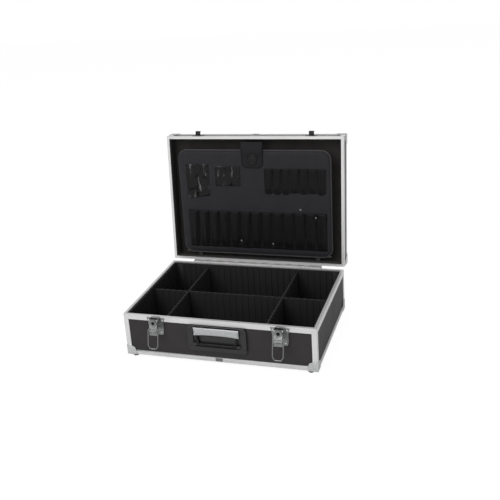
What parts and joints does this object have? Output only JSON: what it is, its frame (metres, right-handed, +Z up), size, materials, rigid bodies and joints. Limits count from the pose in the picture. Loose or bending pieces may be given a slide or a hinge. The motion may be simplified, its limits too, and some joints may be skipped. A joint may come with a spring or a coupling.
{
  "type": "hard tool case",
  "caption": "Hard tool case, open: black boards in aluminium edging, hinged lid with a tool pallet, draw latches with locks, folding handle, lift-out dividers.",
  "frame": {"origin": "middle of the case, on the underside of its bottom panel", "axes": "+X to the right seen from the front, +Y to the hinged back, +Z up"},
  "size_m": [0.4636, 0.4422, 0.4529],
  "materials": {
    "aluminium": "extruded and satin anodised",
    "panel": "black grained laminate on board",
    "nickel": "pressed steel, nickel plated",
    "steel": "bright zinc-plated steel",
    "rubber": "moulded",
    "lining": "black ribbed foamed plastic",
    "black_plastic": "moulded black plastic",
    "liner_cloth": "black lining cloth",
    "pallet_cloth": "black woven nylon",
    "piping": "grey bound edge",
    "clear": "clear flexible vinyl",
    "board": "black fibre board"
  },
  "bodies": {
    "base": {"base_bottom_panel": "panel", "base_front_panel": "panel", "base_back_panel": "panel", "base_left_panel": "panel", "base_right_panel": "panel", "base_rim": "aluminium", "base_bottom_edging": "aluminium", "base_corner_posts": "aluminium", "base_corner_caps": "nickel", "base_joint_clip": "aluminium", "base_rivets": "nickel", "base_wall_lining": "lining", "base_floor_liner": "lining", "rubber_feet": "rubber", "foot_screws": "steel", "hinge_base_leaf": "steel", "hinge_pin": "steel", "latch_plate_left": "nickel", "latch_plate_right": "nickel", "lever_pins": "nickel", "handle_surround": "black_plastic", "handle_pin": "steel", "handle_screws": "steel"},
    "lid": {"lid_top_panel": "panel", "lid_long_panels": "panel", "lid_end_panels": "panel", "lid_rim": "aluminium", "lid_top_edging": "aluminium", "lid_corner_posts": "aluminium", "lid_corner_caps": "nickel", "lid_joint_clip": "aluminium", "lid_rivets": "nickel", "lid_lining": "liner_cloth", "lid_catch_left": "nickel", "lid_catch_right": "nickel", "hinge_lid_leaf": "steel", "pallet_rod": "steel", "pallet_brackets": "black_plastic"},
    "pallet": {"pallet_board": "board", "pallet_piping": "piping", "pallet_facing": "pallet_cloth", "pallet_tool_pockets": "pallet_cloth", "pallet_tool_loops": "pallet_cloth", "clear_pockets": "clear", "pallet_strap": "pallet_cloth", "strap_snap": "black_plastic", "pallet_studs": "steel", "pallet_hinge_sleeves": "black_plastic"},
    "handle": {"handle_frame": "black_plastic", "handle_cover": "nickel"},
    "lever_left": {"latch_lever_left": "nickel"},
    "lever_right": {"latch_lever_right": "nickel"},
    "bail_left": {"bail_left": "nickel"},
    "bail_right": {"bail_right": "nickel"},
    "lock_left": {"lock_barrel_left": "nickel"},
    "lock_right": {"lock_barrel_right": "nickel"},
    "long_divider": {"long_divider": "lining"},
    "left_cross_divider": {"left_cross_divider": "lining"},
    "right_cross_divider": {"right_cross_divider": "lining"}
  },
  "joints": [
    {"name": "lid_hinge", "type": "hinge", "parent": "base", "child": "lid", "pos_m": [0, 0.1703, 0.1017], "axis": [1, 0, 0], "range_deg": [0, 95]},
    {"name": "pallet_tilt", "type": "hinge", "parent": "lid", "child": "pallet", "pos_m": [0, 0.19112, 0.12507], "axis": [-1, 0, 0], "range_deg": [-12, 0]},
    {"name": "handle_fold", "type": "hinge", "parent": "base", "child": "handle", "pos_m": [0, -0.1708, 0.0445], "axis": [1, 0, 0], "range_deg": [0, 95]},
    {"name": "lever_left", "type": "hinge", "parent": "base", "child": "lever_left", "pos_m": [-0.1483, -0.1795, 0.098], "axis": [1, 0, 0], "range_deg": [-100, 0]},
    {"name": "bail_left", "type": "hinge", "parent": "lever_left", "child": "bail_left", "pos_m": [-0.1483, -0.1855, 0.0785], "axis": [-1, 0, 0], "range_deg": [0, 185.6]},
    {"name": "lock_left", "type": "hinge", "parent": "lever_left", "child": "lock_left", "pos_m": [-0.1483, -0.179, 0.093], "axis": [0, 1, 0], "range_deg": [0, 90]},
    {"name": "lever_right", "type": "hinge", "parent": "base", "child": "lever_right", "pos_m": [0.1483, -0.1795, 0.098], "axis": [1, 0, 0], "range_deg": [-100, 0]},
    {"name": "bail_right", "type": "hinge", "parent": "lever_right", "child": "bail_right", "pos_m": [0.1483, -0.1855, 0.0785], "axis": [-1, 0, 0], "range_deg": [0, 185.6]},
    {"name": "lock_right", "type": "hinge", "parent": "lever_right", "child": "lock_right", "pos_m": [0.1483, -0.179, 0.093], "axis": [0, 1, 0], "range_deg": [0, 90]},
    {"name": "long_divider_lift", "type": "slide", "parent": "base", "child": "long_divider", "axis": [0, 0, -1], "range_m": [-0.08, 0]},
    {"name": "left_cross_divider_lift", "type": "slide", "parent": "long_divider", "child": "left_cross_divider", "axis": [0, 0, -1], "range_m": [-0.048, 0]},
    {"name": "right_cross_divider_lift", "type": "slide", "parent": "long_divider", "child": "right_cross_divider", "axis": [0, 0, -1], "range_m": [-0.048, 0]}
  ]
}
